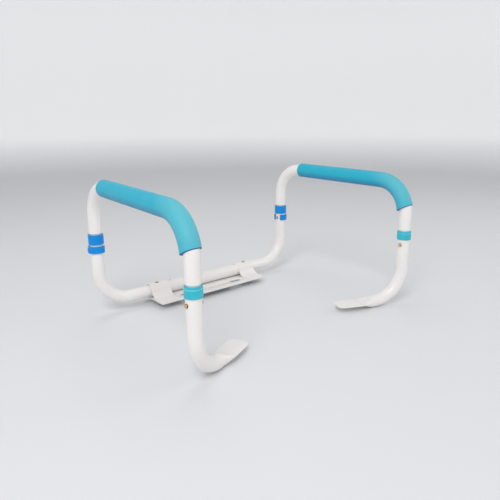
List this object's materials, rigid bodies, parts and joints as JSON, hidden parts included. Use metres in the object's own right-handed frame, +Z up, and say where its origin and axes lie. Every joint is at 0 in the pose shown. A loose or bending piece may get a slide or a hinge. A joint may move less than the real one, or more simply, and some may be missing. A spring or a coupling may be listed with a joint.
{
  "type": "toilet safety frame",
  "caption": "Pair of padded steel side rails on a bracket clamped under a toilet seat's hinge bolts, with lift-off handles, snap buttons and sliding width.",
  "frame": {"origin": "midway between the two hinge-bolt slots, on the bracket's underside, which is the level of the toilet's porcelain deck", "axes": "+Z up; -Y towards the front of the bowl, the way a seated user faces; right_ pieces are on the user's right, at -X, and left_ pieces at +X"},
  "size_m": [0.5658, 0.4014, 0.2879],
  "materials": {
    "tube_white": "semi-gloss powder coat",
    "bracket_white": "semi-gloss powder coat",
    "foam_turquoise": "matt skinned foam",
    "collar_turquoise": "satin",
    "collar_blue": "satin",
    "button_brass": "polished",
    "spring_steel": "bright",
    "pad_rubber": "matt"
  },
  "bodies": {
    "bracket": {"mounting_plate": "bracket_white", "bracket_pad": "pad_rubber", "cross_tube": "tube_white", "right_saddle": "bracket_white", "left_saddle": "bracket_white"},
    "right_legs": {"right_front_leg": "tube_white", "right_rear_leg": "tube_white", "right_front_collar": "collar_turquoise", "right_rear_collar": "collar_blue", "right_width_clip_spring": "spring_steel"},
    "right_handle": {"right_handle_tube": "tube_white", "right_handle_grip": "foam_turquoise", "right_front_clip_spring": "spring_steel", "right_rear_clip_spring": "spring_steel"},
    "right_width_button": {"right_width_button": "button_brass"},
    "right_front_button_outer": {"right_front_button_outer": "button_brass"},
    "right_front_button_inner": {"right_front_button_inner": "button_brass"},
    "right_rear_button_outer": {"right_rear_button_outer": "button_brass"},
    "right_rear_button_inner": {"right_rear_button_inner": "button_brass"},
    "left_legs": {"left_front_leg": "tube_white", "left_rear_leg": "tube_white", "left_front_collar": "collar_turquoise", "left_rear_collar": "collar_blue", "left_width_clip_spring": "spring_steel"},
    "left_handle": {"left_handle_tube": "tube_white", "left_handle_grip": "foam_turquoise", "left_front_clip_spring": "spring_steel", "left_rear_clip_spring": "spring_steel"},
    "left_width_button": {"left_width_button": "button_brass"},
    "left_front_button_outer": {"left_front_button_outer": "button_brass"},
    "left_front_button_inner": {"left_front_button_inner": "button_brass"},
    "left_rear_button_outer": {"left_rear_button_outer": "button_brass"},
    "left_rear_button_inner": {"left_rear_button_inner": "button_brass"}
  },
  "joints": [
    {"name": "right_width_slide", "type": "slide", "parent": "bracket", "child": "right_legs", "axis": [1, 0, 0], "range_m": [0, 0.032]},
    {"name": "right_handle_lift", "type": "slide", "parent": "right_legs", "child": "right_handle", "axis": [0, 0, 1], "range_m": [0, 0.055]},
    {"name": "right_width_press", "type": "slide", "parent": "right_legs", "child": "right_width_button", "axis": [0, 0, -1], "range_m": [0, 0.0049], "stiffness_N_per_m": 2500, "springref_m": -0.002, "deforming": ["right_width_button", "right_width_clip_spring"]},
    {"name": "right_front_press_outer", "type": "slide", "parent": "right_handle", "child": "right_front_button_outer", "axis": [1, 0, 0], "range_m": [0, 0.0045], "stiffness_N_per_m": 2500, "springref_m": -0.002, "deforming": ["right_front_button_outer", "right_front_clip_spring"]},
    {"name": "right_front_press_inner", "type": "slide", "parent": "right_handle", "child": "right_front_button_inner", "axis": [-1, 0, 0], "range_m": [0, 0.0045], "stiffness_N_per_m": 2500, "springref_m": -0.002, "deforming": ["right_front_button_inner"]},
    {"name": "right_rear_press_outer", "type": "slide", "parent": "right_handle", "child": "right_rear_button_outer", "axis": [1, 0, 0], "range_m": [0, 0.0045], "stiffness_N_per_m": 2500, "springref_m": -0.002, "deforming": ["right_rear_button_outer", "right_rear_clip_spring"]},
    {"name": "right_rear_press_inner", "type": "slide", "parent": "right_handle", "child": "right_rear_button_inner", "axis": [-1, 0, 0], "range_m": [0, 0.0045], "stiffness_N_per_m": 2500, "springref_m": -0.002, "deforming": ["right_rear_button_inner"]},
    {"name": "left_width_slide", "type": "slide", "parent": "bracket", "child": "left_legs", "axis": [-1, 0, 0], "range_m": [0, 0.032]},
    {"name": "left_handle_lift", "type": "slide", "parent": "left_legs", "child": "left_handle", "axis": [0, 0, 1], "range_m": [0, 0.055]},
    {"name": "left_width_press", "type": "slide", "parent": "left_legs", "child": "left_width_button", "axis": [0, 0, -1], "range_m": [0, 0.0049], "stiffness_N_per_m": 2500, "springref_m": -0.002, "deforming": ["left_width_button", "left_width_clip_spring"]},
    {"name": "left_front_press_outer", "type": "slide", "parent": "left_handle", "child": "left_front_button_outer", "axis": [-1, 0, 0], "range_m": [0, 0.0045], "stiffness_N_per_m": 2500, "springref_m": -0.002, "deforming": ["left_front_button_outer", "left_front_clip_spring"]},
    {"name": "left_front_press_inner", "type": "slide", "parent": "left_handle", "child": "left_front_button_inner", "axis": [1, 0, 0], "range_m": [0, 0.0045], "stiffness_N_per_m": 2500, "springref_m": -0.002, "deforming": ["left_front_button_inner"]},
    {"name": "left_rear_press_outer", "type": "slide", "parent": "left_handle", "child": "left_rear_button_outer", "axis": [-1, 0, 0], "range_m": [0, 0.0045], "stiffness_N_per_m": 2500, "springref_m": -0.002, "deforming": ["left_rear_button_outer", "left_rear_clip_spring"]},
    {"name": "left_rear_press_inner", "type": "slide", "parent": "left_handle", "child": "left_rear_button_inner", "axis": [1, 0, 0], "range_m": [0, 0.0045], "stiffness_N_per_m": 2500, "springref_m": -0.002, "deforming": ["left_rear_button_inner"]}
  ]
}
